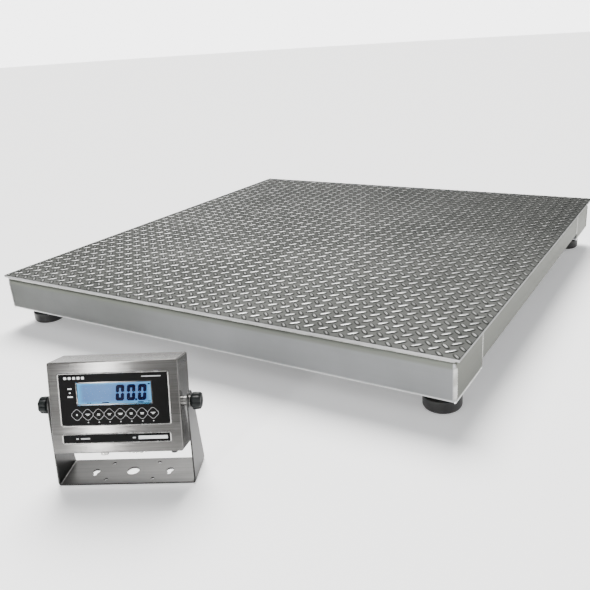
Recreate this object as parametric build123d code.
from build123d import *
from math import cos, pi, radians, sin
import os

# Platform floor scale with a separate weight indicator, in millimetres.
# The origin lies on the floor under the middle of the deck: +X to the right along the front edge,
# +Y to the back, +Z up.

# ---- deck and frame ----
deck_width = 1220.0  # along X
deck_depth = 1220.0  # along Y
deck_height = 139.0  # top of the plate above the floor
plate_thickness = 6.0
front_overhang = 3.0  # of the plate past the frame, on each side
rear_overhang = 16.0
side_overhang = 7.0

end_rail_width = 150.0  # the deep channels along the front and the rear
end_rail_height = 84.0
end_rail_lip = 20.0
end_rail_bend = 12.0  # rounded edge under the plate's outer edge
side_rail_width = 45.0  # the shallower channels along the two sides
side_rail_height = 68.0
side_rail_setback = 1.0  # behind the end caps' faces
sheet = 3.0
cap_round = 2.5  # outer edge of the end caps
fold_radius = 4.0
joist_count = 4
joist_bay = 257.0  # between the outer joists and the side channels, where the box hangs
joist_width = 60.0
joist_height = 50.0

# ---- load cells and feet ----
foot_inset_x = 49.0  # foot centre from the frame's outer side
foot_inset_y = 64.0
cell_length = 130.0
cell_section = 32.0
cell_end = 16.0  # from the foot's axis to the cell's free end
cell_pocket_radius = 11.0
cell_pocket_depth = 7.0
cell_outlet_radius = 5.0
cell_outlet_length = 6.0
cell_edge = 1.0
mount_block_length = 60.0
mount_block_thickness = 12.0
mount_bolt_radius = 6.0
mount_bolt_spacing = 28.0
bolt_hole_clearance = 0.5
bolt_head_height = 7.5
mount_bolt_flats = 18.0
mount_bolt_end_gap = 2.0  # bolt's tip below the top of its block
stem_radius = 8.0
stem_engagement = 26.0
stem_travel = 10.0
ball_radius = 11.0
ball_height = 15.0
neck_radius = 7.0
collar_base = 30.0
collar_height = 9.0
collar_flats = 27.0
lock_nut_height = 8.0
lock_nut_flats = 24.0
thread_chamfer = 1.2
pad_radius = 38.0
pad_height = 28.0
pad_bottom_round = 9.0
pad_top_round = 2.5
pad_mouth_radius = 16.0
socket_grip = 5.5  # of the socket past the ball's middle
running_fit = 0.05  # radial, between a turning shaft and its hole

# ---- junction box and cell cables ----
box_width = 110.0
box_length = 150.0
box_height = 44.0
box_wall = 3.0
box_shift = 6.0  # of the box past the run of the nearer cables
box_corner = 6.0
box_post_radius = 5.5
box_screw_radius = 2.0
box_screw_head_radius = 3.6
box_screw_head_height = 2.4
box_screw_reach = 10.0  # past the box's rim
box_screw_spare = 2.0  # of the hole past the screw's tip
lid_thickness = 2.5
gasket_thickness = 1.5
board_thickness = 1.6
board_margin = 9.0
board_drop = 10.0  # summing board below the box's ceiling
terminal_length = 60.0
terminal_depth = 10.0
terminal_height = 9.0
terminal_inset = 8.0  # its middle from the board's end
cable_radius = 2.5
cable_bend = 25.0
cable_hole_clearance = 2.5
cable_spacing = 28.0  # between the runs of the near and the far cells' cables
far_cable_shift = 43.0  # of the far cable's run towards the deck's middle
cable_lead_out = 40.0
gland_radius = 7.5
gland_length = 14.0
gland_flange_radius = 9.0
gland_flange_length = 4.0
gland_round = 3.0
outlet_bore_radius = 9.0

# ---- indicator: place and bracket ----
indicator_x = 160.0
indicator_y = -960.0
indicator_yaw = 27.5
housing_tilt = 15.0
pivot_height = 134.0
bracket_depth = 69.0
bracket_sheet = 2.5
bracket_bend = 4.5  # outside radius of the two folds
bracket_foot = 7.0  # height over which the arms keep the base's full depth
arm_gap = 7.2  # between the housing's side and an arm
arm_top_radius = 17.0
centre_hole_radius = 10.5
fixing_hole_radius = 3.0
fixing_spacing_x = 79.0
fixing_spacing_y = 45.0
keyhole_x = 63.5
keyhole_head_radius = 6.2
keyhole_slot_radius = 3.2
keyhole_length = 9.0

# ---- indicator: housing ----
housing_width = 211.0
housing_height = 149.0
housing_depth = 60.0
panel_ahead = 27.5  # front panel ahead of the pivot axis
housing_sheet = 1.5
housing_corner = 3.0
housing_front_round = 1.8
rear_flange = 13.0
cover_thickness = 1.5
cover_gasket_thickness = 1.5
cover_emboss = 1.5
cover_emboss_margin = 22.0
cover_emboss_corner = 6.0
cover_emboss_chamfer = 0.9
cover_screw_reach = 3.0  # past the shell's flange
cover_screw_round = 0.8
cover_screw_radius = 2.0
cover_screw_head_radius = 3.8
cover_screw_head_height = 2.2
overlay_width = 175.5
overlay_height = 83.0
overlay_x = 0.5
overlay_z = 13.4
overlay_corner = 4.0
overlay_thickness = 0.8
window_width = 123.0
window_height = 37.7
window_x = 0.8
window_z = 22.7
window_rebate = 2.0  # panel opening smaller than the window, all round
key_count = 8
key_pitch = 17.6
key_z = -10.9
key_side = 14.4
key_round = 4.2
key_thickness = 0.6
key_proud = 0.2
key_clearance = 0.2
strip_width = 173.4
strip_height = 12.9
strip_x = -0.3
strip_z = -50.2
strip_thickness = 0.6
display_margin = 3.0
display_thickness = 7.0
main_board_width = 160.0
main_board_height = 112.0
main_board_gap = 8.0  # behind the front panel's inner face
power_board_width = 96.0
power_board_height = 60.0
power_board_gap = 22.0
power_board_z = -14.0
transformer_size = 34.0
transformer_depth = 12.0
main_board_parts = [  # each one's x and z range and height
    ((-70.0, -52.0), (10.0, 46.0), 9.0),
    ((-40.0, -28.0), (20.0, 32.0), 2.0),
    ((58.0, 72.0), (-46.0, 30.0), 8.0),
]
standoff_radius = 3.0
standoff_inset = 6.0

# ---- indicator: knobs and fittings ----
stud_radius = 3.0
stud_clearance = 0.3
stud_reach = 8.0  # past the housing's side wall
knob_radius = 15.0
knob_length = 17.0
knob_lobes = 7
knob_scallop_radius = 5.0
knob_scallop_place = 2.75  # of a groove's axis past the knob's rim
knob_hub_radius = 10.5
knob_hub_length = 3.0
knob_chamfer = 1.5
stud_in_knob = 12.0
washer_radius = 9.0
washer_thickness = 1.2
boss_radius = 8.0
face_gap = 0.2  # between faces that slide past each other
fitting_y = -5.0
signal_gland_x = -30.4
signal_gland_flats = 15.0  # of its hexagon
signal_gland_nut_length = 4.5
signal_gland_radius = 6.6
signal_gland_length = 10.0
signal_gland_round = 2.0
signal_neck_radius = 5.0
neck_reach = 3.0  # of both glands' necks past the housing's wall
serial_x = 24.5
serial_flange_width = 31.0
serial_flange_depth = 12.5
serial_flange_thickness = 2.0
serial_shell_width = 17.0
serial_shell_depth = 9.0
serial_shell_length = 6.0
serial_wall = 0.8
serial_flange_corner = 2.0
serial_shell_corner = 2.5
serial_recess = 0.6  # insulator behind the shell's rim
jack_screw_spacing = 25.0
jack_screw_radius = 2.6
jack_screw_length = 7.0
power_gland_x = 85.0
power_gland_radius = 5.0
power_gland_length = 9.0
power_gland_round = 1.5
power_neck_radius = 3.0
fitting_hole_reach = 5.0  # of the cut-outs' tools, above and below the wall's face

# ---- worked out ----
plate_base = deck_height - plate_thickness
frame_side = deck_width / 2 - side_overhang
frame_front = -deck_depth / 2 + front_overhang
frame_rear = deck_depth / 2 - rear_overhang
front_web = frame_front + end_rail_width
rear_web = frame_rear - end_rail_width
frame_middle = (frame_front + frame_rear) / 2
rail_length = 2 * (frame_side - sheet)
side_rail_length = rear_web - front_web
joist_span = 2 * (frame_side - side_rail_setback - side_rail_width - joist_bay)
joist_pitch = joist_span / (joist_count - 1)

foot_x = frame_side - foot_inset_x
front_foot_y = frame_front + foot_inset_y
rear_foot_y = frame_rear - foot_inset_y
block_top = plate_base - sheet
cell_top = block_top - mount_block_thickness
cell_base = cell_top - cell_section
cell_middle = cell_top - cell_section / 2
cell_inner_end = foot_x + cell_end - cell_length
cable_start = cell_inner_end - cell_outlet_length
near_cable_x = cable_lead_out - cable_start  # where the near cells' cables leave their rails
far_cable_x = near_cable_x + cable_spacing
box_x = near_cable_x - box_shift
bolt_places = [cell_inner_end + mount_block_length / 2 + side * mount_bolt_spacing / 2 for side in (-1, 1)]
corners = [
    ("front_left", -1, -1),
    ("front_right", 1, -1),
    ("rear_left", -1, 1),
    ("rear_right", 1, 1),
]

bracket_inner = housing_width + 2 * arm_gap
bracket_outer = bracket_inner + 2 * bracket_sheet
panel_y = -panel_ahead
shell_back = panel_y + housing_depth - cover_thickness - cover_gasket_thickness
housing_base = -housing_height / 2
main_board_y = panel_y + housing_sheet + main_board_gap
power_board_y = main_board_y + board_thickness + power_board_gap
indicator_place = Pos(indicator_x, indicator_y, 0) * Rot(0, 0, indicator_yaw)
housing_place = indicator_place * Pos(0, 0, pivot_height) * Rot(-housing_tilt, 0, 0)
along_y = Rot(-90, 0, 0)  # turns a sketch's or a cylinder's Z to +Y
along_x = Rot(0, 90, 0)  # turns Z to +X


def save(node, *solids):
    """Write one node, as one solid or a group of separate ones."""
    shape = solids[0] if len(solids) == 1 else Compound(children=list(solids))
    export_step(shape, os.path.join("parts", node + ".step"))


def upright(radius, base, top, x=0.0, y=0.0):
    """Round bar along Z, from base to top."""
    return Pos(x, y, (base + top) / 2) * Cylinder(radius, top - base)


def hexagon(flats, base, top, x=0.0, y=0.0):
    """Hexagonal bar along Z, measured across its flats."""
    outline = RegularPolygon(flats / 2, 6, major_radius=False)
    return Pos(x, y, base) * extrude(outline, top - base)


def block(x_range, y_range, z_range):
    """Box between the given limits."""
    sizes = [high - low for low, high in (x_range, y_range, z_range)]
    middle = [(high + low) / 2 for low, high in (x_range, y_range, z_range)]
    return Pos(*middle) * Box(*sizes)


def foot_place(side, end):
    """Axis of one corner's foot."""
    return side * foot_x, front_foot_y if end < 0 else rear_foot_y


def panel_sketch(sketch, x=0.0, z=0.0):
    """A sketch's place in the housing's XZ plane, facing the back."""
    return along_y * Pos(x, -z, 0) * sketch


def panel_sheet(sketch, front, thickness, x=0.0, z=0.0):
    """A sheet parallel to the front panel, with its front face at the given y."""
    return Pos(0, front, 0) * extrude(panel_sketch(sketch, x, z), thickness, dir=(0, 1, 0))


# ---------------------------------------------------------------- frame


def channel_section(width, height, lip, outer_bend):
    """Folded channel, open below, with inward lips; u = 0 is its outer face, v = 0 its lower edge."""
    outline = Pos(width / 2, height / 2) * Rectangle(width, height)
    inside = Pos(width / 2, height / 2) * Rectangle(width - 2 * sheet, height - 2 * sheet)
    outer_edge = outline.vertices().sort_by_distance((0, height, 0))
    outline = fillet(outer_edge[:1], outer_bend)
    outline = fillet(outline.vertices().sort_by_distance((width, height, 0))[:1], fold_radius)
    outline = fillet(outline.vertices().sort_by_distance((0, 0, 0))[:1], fold_radius)
    outline = fillet(outline.vertices().sort_by_distance((width, 0, 0))[:1], fold_radius)
    inside = fillet(inside.vertices().sort_by_distance((0, height, 0))[:1], outer_bend - sheet)
    mouth = Pos(width / 2, sheet / 2) * Rectangle(width - 2 * lip, 2 * sheet)
    return outline - inside - mouth


def end_rail(end):
    """Deep channel along the front (end = -1) or the rear (end = 1), with two cable holes."""
    section = channel_section(end_rail_width, end_rail_height, end_rail_lip, end_rail_bend)
    rail = extrude(Plane.YZ * section, rail_length)
    rail = Pos(-rail_length / 2, 0, plate_base - end_rail_height) * rail
    rail = Pos(0, frame_front, 0) * rail if end < 0 else Pos(0, frame_rear, 0) * mirror(rail, Plane.XZ)
    web = front_web if end < 0 else rear_web
    hole_radius = cable_radius + cable_hole_clearance
    for hole_x in (near_cable_x, far_cable_x):
        rail -= Pos(hole_x, web, cell_middle) * along_y * Cylinder(hole_radius, 4 * sheet)
    return rail


def end_cap(side, end):
    """Plate that closes one end of a deep channel."""
    section = Pos(end_rail_width / 2, end_rail_height / 2) * Rectangle(end_rail_width, end_rail_height)
    section = fillet(section.vertices().sort_by_distance((0, end_rail_height, 0))[:1], end_rail_bend)
    cap = extrude(Plane.YZ * section, sheet)
    upright_edges = cap.edges().filter_by(Axis.Z).group_by(Axis.Y)[0].sort_by(Axis.X)
    cap = fillet(upright_edges[-1 if side > 0 else 0], cap_round)
    cap = Pos(0, 0, plate_base - end_rail_height) * cap
    cap = Pos(0, frame_front, 0) * cap if end < 0 else Pos(0, frame_rear, 0) * mirror(cap, Plane.XZ)
    return Pos(frame_side - sheet if side > 0 else -frame_side, 0, 0) * cap


def side_rail(side):
    """Shallow C channel along one side, open towards the middle."""
    face = frame_side - side_rail_setback
    low = plate_base - side_rail_height
    rail = block((face - side_rail_width, face), (front_web, rear_web), (low, plate_base))
    hollow = block(
        (face - side_rail_width, face - sheet),
        (front_web, rear_web),
        (low + sheet, plate_base - sheet),
    )
    outer_edges = rail.edges().filter_by(Axis.Y).group_by(Axis.X)[-1]
    rail = fillet(outer_edges, fold_radius) - hollow
    if side < 0:
        rail = mirror(rail, Plane.YZ)
        rail -= Pos(-face, frame_middle, cell_middle) * along_x * Cylinder(outlet_bore_radius, 4 * sheet)
    return rail


def joist(number):
    """Inverted U channel under the plate, between the two deep channels."""
    x = (number - (joist_count - 1) / 2) * joist_pitch
    low = plate_base - joist_height
    half = joist_width / 2
    outside = block((x - half, x + half), (front_web, rear_web), (low, plate_base))
    inside = block((x - half + sheet, x + half - sheet), (front_web, rear_web), (low, plate_base - sheet))
    top_edges = outside.edges().filter_by(Axis.Y).group_by(Axis.Z)[-1]
    return fillet(top_edges, fold_radius) - inside


def make_frame():
    deck_half = (deck_width / 2, deck_depth / 2)
    plate = block((-deck_half[0], deck_half[0]), (-deck_half[1], deck_half[1]), (plate_base, deck_height))
    save("deck_plate", plate)
    save("front_rail", end_rail(-1))
    save("rear_rail", end_rail(1))
    save("rail_end_caps", *[end_cap(side, end) for _, side, end in corners])
    save("left_rail", side_rail(-1))
    save("right_rail", side_rail(1))
    save("deck_joists", *[joist(number) for number in range(joist_count)])


# ---------------------------------------------------------------- load cells and feet


def cell_mount(side, end):
    """Thick block under a deep channel's top, which a load cell's fixed end is bolted to."""
    y = foot_place(side, end)[1]
    half = mount_block_length / 2
    length = (cell_inner_end, cell_inner_end + mount_block_length)
    mount = block(length, (y - half, y + half), (cell_top, block_top))
    for x in bolt_places:
        mount -= upright(mount_bolt_radius + running_fit, cell_top, block_top, x, y)
    return mount if side > 0 else mirror(mount, Plane.YZ)


def load_cell(side, end):
    """Shear-beam load cell: two mounting holes, two gauge pockets, a threaded hole at its free end."""
    y = foot_place(side, end)[1]
    half = cell_section / 2
    length = (cell_inner_end, cell_inner_end + cell_length)
    beam = chamfer(block(length, (y - half, y + half), (cell_base, cell_top)).edges(), cell_edge)
    for x in bolt_places:
        beam -= upright(mount_bolt_radius + bolt_hole_clearance, cell_base, cell_top, x, y)
    beam -= upright(stem_radius + running_fit, cell_base, cell_top, foot_x, y)
    pocket_x = (bolt_places[1] + foot_x) / 2
    for face in (-1, 1):
        pocket = along_y * Cylinder(cell_pocket_radius, 2 * cell_pocket_depth)
        beam -= Pos(pocket_x, y + face * half, cell_middle) * pocket
    outlet = along_x * Cylinder(cell_outlet_radius, cell_outlet_length)
    beam += Pos(cell_inner_end - cell_outlet_length / 2, y, cell_middle) * outlet
    return beam if side > 0 else mirror(beam, Plane.YZ)


def cell_bolts(side, end):
    """The two hexagon bolts that hold one load cell from below."""
    y = foot_place(side, end)[1]
    bolts = []
    for x in bolt_places:
        shank = upright(mount_bolt_radius, cell_base, block_top - mount_bolt_end_gap, side * x, y)
        head = hexagon(mount_bolt_flats, cell_base - bolt_head_height, cell_base, side * x, y)
        bolts.append(shank + head)
    return bolts


def lock_nut(side, end):
    """Nut that is tightened on the stem, against the underside of the load cell."""
    x, y = foot_place(side, end)
    nut = hexagon(lock_nut_flats, cell_base - lock_nut_height, cell_base, x, y)
    return nut - upright(stem_radius + running_fit, cell_base - lock_nut_height, cell_base, x, y)


def foot_stem(side, end):
    """Threaded stem with a hexagonal collar and a ball at its lower end."""
    x, y = foot_place(side, end)
    stem = Pos(x, y, ball_height) * Sphere(ball_radius)
    stem += upright(neck_radius, ball_height, collar_base, x, y)
    stem += hexagon(collar_flats, collar_base, collar_base + collar_height, x, y)
    top = cell_base + stem_engagement
    thread = upright(stem_radius, collar_base, top, x, y)
    return stem + chamfer(thread.edges().group_by(Axis.Z)[-1], thread_chamfer)


def foot_pad(side, end):
    """Round rubber-covered foot with a ball socket and a flared mouth."""
    x, y = foot_place(side, end)
    pad = upright(pad_radius, 0, pad_height)
    pad = fillet(pad.edges().group_by(Axis.Z)[0], pad_bottom_round)
    pad = fillet(pad.edges().group_by(Axis.Z)[-1], pad_top_round)
    socket_radius = ball_radius + running_fit
    throat_height = ball_height + socket_grip
    throat_radius = (socket_radius**2 - socket_grip**2) ** 0.5
    pad -= Pos(0, 0, ball_height) * Sphere(socket_radius)
    mouth = Cone(throat_radius, pad_mouth_radius, pad_height - throat_height)
    pad -= Pos(0, 0, (pad_height + throat_height) / 2) * mouth
    return Pos(x, y, 0) * pad


def make_corners():
    save("cell_mounts", *[cell_mount(side, end) for _, side, end in corners])
    save("load_cell_bolts", *[bolt for _, side, end in corners for bolt in cell_bolts(side, end)])
    save("foot_lock_nuts", *[lock_nut(side, end) for _, side, end in corners])
    for name, side, end in corners:
        save("load_cell_" + name, load_cell(side, end))
        save("foot_stem_" + name, foot_stem(side, end))
        save("foot_pad_" + name, foot_pad(side, end))


# ---------------------------------------------------------------- junction box and cables

box_top = plate_base
box_base = plate_base - box_height
box_rim = box_base + lid_thickness + gasket_thickness
box_x_range = (box_x - box_width / 2, box_x + box_width / 2)
box_y_range = (frame_middle - box_length / 2, frame_middle + box_length / 2)


def box_posts():
    """Places of the four lid screws."""
    inset = box_wall + box_post_radius / 2
    return [
        (box_x + side * (box_width / 2 - inset), frame_middle + end * (box_length / 2 - inset))
        for _, side, end in corners
    ]


def box_plate(base, top):
    """A rounded plate of the junction box's outline."""
    plate = block(box_x_range, box_y_range, (base, top))
    return fillet(plate.edges().filter_by(Axis.Z), box_corner)


def junction_box():
    """Box body, open below, with a threaded post in each corner."""
    body = box_plate(box_rim, box_top)
    hollow = block(
        (box_x_range[0] + box_wall, box_x_range[1] - box_wall),
        (box_y_range[0] + box_wall, box_y_range[1] - box_wall),
        (box_rim, box_top - box_wall),
    )
    body -= fillet(hollow.edges().filter_by(Axis.Z), box_corner - box_wall)
    for x, y in box_posts():
        body += upright(box_post_radius, box_rim, box_top - box_wall, x, y)
    screw_hole_end = box_rim + box_screw_reach + box_screw_spare
    for x, y in box_posts():
        body -= upright(box_screw_radius, box_rim, screw_hole_end, x, y)
    return body


def box_gasket():
    """Rubber ring between the box and its lid."""
    ring = box_plate(box_base + lid_thickness, box_rim)
    inner = 2 * (box_wall + 2 * box_post_radius)
    opening = Box(box_width - inner, box_length - inner, 4 * gasket_thickness)
    ring -= Pos(box_x, frame_middle, box_rim) * opening
    for x, y in box_posts():
        ring -= upright(box_screw_radius, box_base, box_rim, x, y)
    return ring


def box_lid():
    """Flat lid with four screw holes."""
    lid = box_plate(box_base, box_base + lid_thickness)
    for x, y in box_posts():
        lid -= upright(box_screw_radius, box_base, box_rim, x, y)
    return lid


def box_screw(x, y):
    """Pan-head screw, entered from below."""
    screw = upright(box_screw_radius, box_base, box_rim + box_screw_reach, x, y)
    return screw + upright(box_screw_head_radius, box_base - box_screw_head_height, box_base, x, y)


def summing_board():
    """Circuit board with a row of screw terminals along each end, on four short pillars."""
    top = box_top - box_wall - board_drop
    half_x = box_width / 2 - board_margin
    half_y = box_length / 2 - board_margin - box_post_radius
    board = block(
        (box_x - half_x, box_x + half_x),
        (frame_middle - half_y, frame_middle + half_y),
        (top - board_thickness, top),
    )
    for end in (-1, 1):
        y = frame_middle + end * (half_y - terminal_inset)
        terminals = block(
            (box_x - terminal_length / 2, box_x + terminal_length / 2),
            (y - terminal_depth / 2, y + terminal_depth / 2),
            (top - board_thickness - terminal_height, top - board_thickness),
        )
        board += terminals
    for _, side, end in corners:
        x = box_x + side * (half_x - standoff_inset)
        y = frame_middle + end * (half_y - terminal_inset - 2 * standoff_inset)
        board += upright(standoff_radius, top, box_top - box_wall, x, y)
    return board


def gland(start, turn):
    """Cable gland on a wall: a flange against it and a domed body; it points along -Y before its turn."""
    body = Cylinder(gland_radius, gland_length)
    body = fillet(body.edges().group_by(Axis.Z)[-1], gland_round)
    flange = hexagon(2 * gland_flange_radius, 0, gland_flange_length)
    whole = Pos(0, 0, gland_length / 2) * body + flange
    return Pos(*start) * Rot(0, 0, turn) * Rot(90, 0, 0) * whole


def cell_cable(side, end):
    """Cable from one load cell's outlet to its gland on the junction box."""
    y = foot_place(side, end)[1]
    near = side < 0
    turn_x = near_cable_x if near else far_cable_x
    gland_end = frame_middle + end * (box_length / 2 + gland_length)
    points = [(side * cable_start, y, cell_middle)]
    if near:
        points.append((turn_x, y, cell_middle))
    else:
        run_y = y - end * far_cable_shift
        points.append((cable_start - cable_lead_out, y, cell_middle))
        points.append((cable_start - cable_lead_out - far_cable_shift, run_y, cell_middle))
        points.append((turn_x, run_y, cell_middle))
    points.append((turn_x, gland_end, cell_middle))
    route = FilletPolyline(*points, radius=cable_bend)
    section = Plane(route @ 0, z_dir=route % 0) * Circle(cable_radius)
    tube = sweep(section, path=route)
    ideal = pi * cable_radius**2 * route.length
    print(f"cell cable: length {route.length:.1f} mm, volume over ideal {tube.volume / ideal:.4f}")
    return tube


def make_junction_box():
    save("junction_box", junction_box())
    save("junction_box_gasket", box_gasket())
    save("junction_box_lid", box_lid())
    save("junction_box_screws", *[box_screw(x, y) for x, y in box_posts()])
    save("summing_board", summing_board())
    glands = []
    for x in (near_cable_x, far_cable_x):
        glands.append(gland((x, box_y_range[0], cell_middle), 0))
        glands.append(gland((x, box_y_range[1], cell_middle), 180))
    glands.append(gland((box_x_range[0], frame_middle, cell_middle), -90))
    save("cable_glands", *glands)
    save("cell_cables", *[cell_cable(side, end) for _, side, end in corners])


# ---------------------------------------------------------------- indicator bracket


def keyhole(side):
    """Keyhole slot: a screw head's hole with a narrow slot towards the front."""
    head = Pos(side * keyhole_x, 0) * Circle(keyhole_head_radius)
    slot = Pos(side * keyhole_x, -keyhole_length / 2) * Rectangle(2 * keyhole_slot_radius, keyhole_length)
    return head + slot + Pos(side * keyhole_x, -keyhole_length) * Circle(keyhole_slot_radius)


def bracket():
    """One sheet folded to a U, with arms that narrow to a round end about the pivot."""
    arm_top = pivot_height + arm_top_radius
    tall = 2 * arm_top
    outline = Pos(0, tall / 2) * Rectangle(bracket_outer, tall)
    inside = Pos(0, tall / 2 + bracket_sheet) * Rectangle(bracket_inner, tall)
    outline = fillet(outline.vertices().group_by(Axis.Y)[0], bracket_bend)
    inside = fillet(inside.vertices().group_by(Axis.Y)[0], bracket_bend - bracket_sheet)
    folded = extrude(Plane.XZ * (outline - inside), bracket_depth / 2, both=True)
    top_circle = Pos(0, pivot_height) * Circle(arm_top_radius)
    foot = Pos(0, bracket_foot / 2) * Rectangle(bracket_depth, bracket_foot)
    side_view = make_hull(top_circle.edges() + foot.edges())
    sheet_metal = folded & extrude(Plane.YZ * side_view, bracket_outer, both=True)
    stud_hole = Cylinder(stud_radius + stud_clearance, 2 * bracket_outer)
    sheet_metal -= Pos(0, 0, pivot_height) * along_x * stud_hole
    holes = Circle(centre_hole_radius) + keyhole(-1) + keyhole(1)
    for _, side, end in corners:
        place = Pos(side * fixing_spacing_x / 2, end * fixing_spacing_y / 2)
        holes += place * Circle(fixing_hole_radius)
    return sheet_metal - extrude(holes, 2 * bracket_sheet, both=True)


# ---------------------------------------------------------------- indicator housing


def key_places():
    return [(number - (key_count - 1) / 2) * key_pitch for number in range(key_count)]


def key_outline(grow=0.0):
    """Diamond with well rounded corners."""
    return Rot(0, 0, 45) * RectangleRounded(key_side + 2 * grow, key_side + 2 * grow, key_round + grow)


def fitting_holes():
    """Cut-outs in the housing's underside."""
    low = housing_base - fitting_hole_reach
    high = housing_base + fitting_hole_reach
    gland_hole = upright(signal_neck_radius, low, high, signal_gland_x, fitting_y)
    power_hole = upright(power_neck_radius, low, high, power_gland_x, fitting_y)
    half_width = serial_shell_width / 2
    half_depth = serial_shell_depth / 2
    serial_hole = block(
        (serial_x - half_width, serial_x + half_width),
        (fitting_y - half_depth, fitting_y + half_depth),
        (low, high),
    )
    return gland_hole + power_hole + serial_hole


def housing_shell():
    """Folded stainless box with an inward flange at its open back."""
    half_width = housing_width / 2
    half_height = housing_height / 2
    shell = block((-half_width, half_width), (panel_y, shell_back), (-half_height, half_height))
    shell = fillet(shell.edges().filter_by(Axis.Y), housing_corner)
    shell = fillet(shell.edges().group_by(Axis.Y)[0], housing_front_round)
    hollow = block(
        (-half_width + housing_sheet, half_width - housing_sheet),
        (panel_y + housing_sheet, shell_back - housing_sheet),
        (-half_height + housing_sheet, half_height - housing_sheet),
    )
    shell -= fillet(hollow.edges().filter_by(Axis.Y), housing_corner - housing_sheet)
    back = Pos(0, shell_back, 0) * Box(
        housing_width - 2 * rear_flange, 4 * housing_sheet, housing_height - 2 * rear_flange
    )
    shell -= back
    for x, z in cover_screw_places():
        shell -= Pos(x, shell_back, z) * along_y * Cylinder(cover_screw_radius, 4 * housing_sheet)
    window = Rectangle(window_width - 2 * window_rebate, window_height - 2 * window_rebate)
    shell -= panel_sheet(window, panel_y - 1, housing_sheet + 2, window_x, window_z)
    shell -= along_x * Cylinder(stud_radius + running_fit, 2 * housing_width)
    return shell - fitting_holes()


def cover_screw_places():
    """Eight screws: the four corners and the middles of the four sides."""
    far_x = housing_width / 2 - rear_flange / 2 - 1
    far_z = housing_height / 2 - rear_flange / 2 - 1
    return [(i * far_x, k * far_z) for i in (-1, 0, 1) for k in (-1, 0, 1) if (i, k) != (0, 0)]


def cover_plate(front, thickness):
    """Plate of the housing's outline, with the eight screw holes."""
    outline = RectangleRounded(housing_width, housing_height, housing_corner)
    plate = panel_sheet(outline, front, thickness)
    for x, z in cover_screw_places():
        plate -= Pos(x, front, z) * along_y * Cylinder(cover_screw_radius, 4 * thickness)
    return plate


def cover_gasket():
    """Rubber frame between the shell's flange and the rear cover."""
    width = housing_width - 2 * rear_flange
    height = housing_height - 2 * rear_flange
    opening = Pos(0, shell_back, 0) * Box(width, 8 * cover_gasket_thickness, height)
    return cover_plate(shell_back, cover_gasket_thickness) - opening


def rear_cover():
    """Back plate with a raised middle field."""
    front = shell_back + cover_gasket_thickness
    plate = cover_plate(front, cover_thickness)
    margin = 2 * cover_emboss_margin
    field = RectangleRounded(housing_width - margin, housing_height - margin, cover_emboss_corner)
    raised = panel_sheet(field, front + cover_thickness, cover_emboss)
    return plate + chamfer(raised.edges().group_by(Axis.Y)[-1], cover_emboss_chamfer)


def cover_screw(x, z):
    """Pan-head screw, entered from the back."""
    head_base = shell_back + cover_gasket_thickness + cover_thickness
    shank_end = shell_back - housing_sheet - cover_screw_reach
    shank = along_y * Cylinder(cover_screw_radius, head_base - shank_end)
    head = along_y * Cylinder(cover_screw_head_radius, cover_screw_head_height)
    head = fillet(head.edges().group_by(Axis.Y)[-1], cover_screw_round)
    screw = Pos(0, (head_base + shank_end) / 2, 0) * shank
    return Pos(x, 0, z) * (screw + Pos(0, head_base + cover_screw_head_height / 2, 0) * head)


def keypad_overlay():
    """Printed sheet on the front panel, with the window's opening and a hole for each key."""
    outline = Rectangle(overlay_width, overlay_height)
    outline = fillet(outline.vertices().group_by(Axis.Y)[-1], overlay_corner)
    front = panel_y - overlay_thickness
    overlay = panel_sheet(outline, front, overlay_thickness, overlay_x, overlay_z)
    window = Rectangle(window_width, window_height)
    overlay -= panel_sheet(window, front, overlay_thickness, window_x, window_z)
    for x in key_places():
        overlay -= panel_sheet(key_outline(key_clearance), front, overlay_thickness, x, key_z)
    return overlay


def key(x):
    """One raised membrane key."""
    front = panel_y - overlay_thickness - key_proud
    return panel_sheet(key_outline(), front, key_thickness, x, key_z)


def main_board():
    """Main circuit board on four pillars behind the front panel, with a few tall components."""
    board = panel_sheet(Rectangle(main_board_width, main_board_height), main_board_y, board_thickness)
    panel_back = panel_y + housing_sheet
    for i in (-1, 1):
        for k in (-1, 1):
            x = i * (main_board_width / 2 - standoff_inset)
            z = k * (main_board_height / 2 - standoff_inset)
            pillar = along_y * Cylinder(standoff_radius, main_board_gap)
            board += Pos(x, panel_back + main_board_gap / 2, z) * pillar
    back = main_board_y + board_thickness
    for x_range, z_range, height in main_board_parts:
        board += block(x_range, (back, back + height), z_range)
    return board


def power_board():
    """Power supply board on four long pillars, with its transformer."""
    board = panel_sheet(
        Rectangle(power_board_width, power_board_height), power_board_y, board_thickness, 0, power_board_z
    )
    for i in (-1, 1):
        for k in (-1, 1):
            x = i * (power_board_width / 2 - standoff_inset)
            z = power_board_z + k * (power_board_height / 2 - standoff_inset)
            pillar = along_y * Cylinder(standoff_radius, power_board_gap)
            board += Pos(x, power_board_y - power_board_gap / 2, z) * pillar
    half = transformer_size / 2
    front = power_board_y - transformer_depth
    z_range = (power_board_z - half, power_board_z + half)
    return board + block((-half, half), (front, power_board_y), z_range)


def signal_gland():
    """Cable gland for the load-cell cable, pointing down."""
    body = upright(signal_gland_radius, -signal_gland_length, 0)
    body = fillet(body.edges().group_by(Axis.Z)[0], signal_gland_round)
    nut = hexagon(signal_gland_flats, -signal_gland_nut_length, 0)
    neck = upright(signal_neck_radius, 0, housing_sheet + neck_reach)
    return Pos(signal_gland_x, fitting_y, housing_base) * (body + nut + neck)


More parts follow.
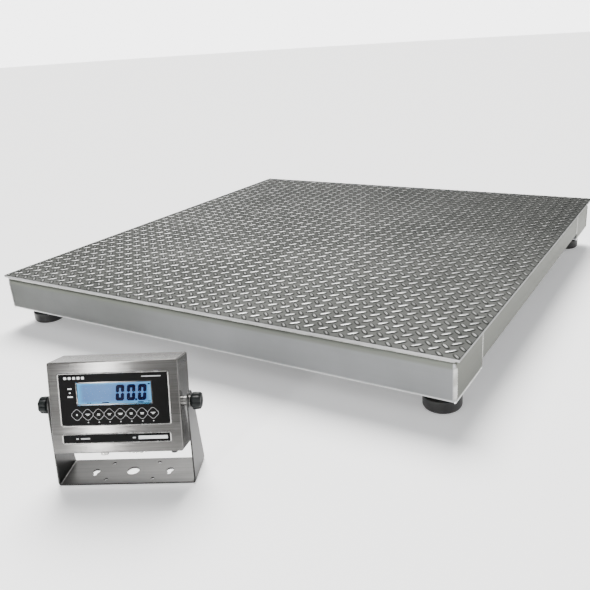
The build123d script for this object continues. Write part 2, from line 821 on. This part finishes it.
def serial_port():
    """Nine-pole port: flange, D-shaped shell and two jack screws."""
    flange = Pos(0, 0, -serial_flange_thickness / 2) * Box(
        serial_flange_width, serial_flange_depth, serial_flange_thickness
    )
    flange = fillet(flange.edges().filter_by(Axis.Z), serial_flange_corner)
    low = -serial_flange_thickness - serial_shell_length
    half_width = serial_shell_width / 2
    half_depth = serial_shell_depth / 2
    shell = block((-half_width, half_width), (-half_depth, half_depth), (low, 0))
    shell = fillet(shell.edges().filter_by(Axis.Z), serial_shell_corner)
    port = flange + shell - serial_core(low, serial_wall)
    for side in (-1, 1):
        port += upright(jack_screw_radius, -jack_screw_length, 0, side * jack_screw_spacing / 2)
    return Pos(serial_x, fitting_y, housing_base) * port


def serial_core(low, wall):
    """Space inside the port's shell."""
    half_width = serial_shell_width / 2 - wall
    half_depth = serial_shell_depth / 2 - wall
    core = block((-half_width, half_width), (-half_depth, half_depth), (low, 0))
    return fillet(core.edges().filter_by(Axis.Z), serial_shell_corner - wall)


def serial_insert():
    """Insulator with its contacts, a little inside the shell's rim."""
    low = serial_recess - serial_flange_thickness - serial_shell_length
    return Pos(serial_x, fitting_y, housing_base) * serial_core(low, serial_wall)


def power_gland():
    """Small black strain relief of the power lead, pointing down."""
    body = upright(power_gland_radius, -power_gland_length, 0)
    body = fillet(body.edges().group_by(Axis.Z)[0], power_gland_round)
    neck = upright(power_neck_radius, 0, housing_sheet + neck_reach)
    return Pos(power_gland_x, fitting_y, housing_base) * (body + neck)


# ---------------------------------------------------------------- knobs

arm_face = bracket_outer / 2
knob_face = arm_face + washer_thickness


def outward(solid, side):
    """Turn a solid built along +Z to lie on the pivot axis, pointing out of the given side."""
    return Rot(0, 90 * side, 0) * solid


def knob(side):
    """Lobed hand knob with a hub against its washer and a blind socket for the stud."""
    grip = upright(knob_radius, knob_hub_length, knob_length)
    reach = knob_radius + knob_scallop_place
    for lobe in range(knob_lobes):
        angle = radians(360 * (lobe + 0.5) / knob_lobes)
        groove = Cylinder(knob_scallop_radius, 3 * knob_length)
        grip -= Pos(reach * cos(angle), reach * sin(angle), 0) * groove
    grip = chamfer(grip.edges().group_by(Axis.Z)[-1], knob_chamfer)
    hub = upright(knob_hub_radius, 0, knob_hub_length)
    body = grip + hub - upright(stud_radius, 0, stud_in_knob)
    return outward(Pos(0, 0, knob_face) * body, side)


def knob_stud(side):
    """Threaded stud that clamps the arm against the housing's boss."""
    inner_end = housing_width / 2 - stud_reach
    return outward(upright(stud_radius, inner_end, knob_face + stud_in_knob), side)


def knob_washer(side):
    """Flat washer between the knob and the arm."""
    ring = upright(washer_radius, arm_face, knob_face)
    ring -= upright(stud_radius + stud_clearance, arm_face, knob_face)
    return outward(ring, side)


def pivot_boss(side):
    """Threaded boss on the housing's side, which the arm is clamped to."""
    boss = upright(boss_radius, housing_width / 2, housing_width / 2 + arm_gap - face_gap)
    boss -= upright(stud_radius + running_fit, housing_width / 2, housing_width / 2 + arm_gap)
    return outward(boss, side)


def make_indicator():
    save("bracket", indicator_place * bracket())
    panel_back = panel_y + housing_sheet
    strip = panel_sheet(
        Rectangle(strip_width, strip_height), panel_y - strip_thickness, strip_thickness, strip_x, strip_z
    )
    front = panel_y - overlay_thickness
    pane = Rectangle(window_width, window_height)
    window = panel_sheet(pane, front, overlay_thickness, window_x, window_z)
    glass = Rectangle(window_width + 2 * display_margin, window_height + 2 * display_margin)
    on_housing = {
        "housing_shell": [housing_shell()],
        "rear_cover": [rear_cover()],
        "cover_gasket": [cover_gasket()],
        "cover_screws": [cover_screw(x, z) for x, z in cover_screw_places()],
        "keypad_overlay": [keypad_overlay()],
        "display_window": [window],
        "lcd_module": [panel_sheet(glass, panel_back, display_thickness, window_x, window_z)],
        "label_strip": [strip],
        "main_board": [main_board()],
        "power_board": [power_board()],
        "pivot_bosses": [pivot_boss(-1), pivot_boss(1)],
        "signal_gland": [signal_gland()],
        "serial_port": [serial_port()],
        "serial_insert": [serial_insert()],
        "power_gland": [power_gland()],
    }
    for number, x in enumerate(key_places(), 1):
        on_housing[f"key_{number}"] = [key(x)]
    for name, side in (("left", -1), ("right", 1)):
        on_housing["knob_" + name] = [knob(side)]
        on_housing["knob_stud_" + name] = [knob_stud(side)]
        on_housing["knob_washer_" + name] = [knob_washer(side)]
    for node, solids in on_housing.items():
        save(node, *[housing_place * solid for solid in solids])


os.makedirs("parts", exist_ok=True)
make_frame()
make_corners()
make_junction_box()
make_indicator()
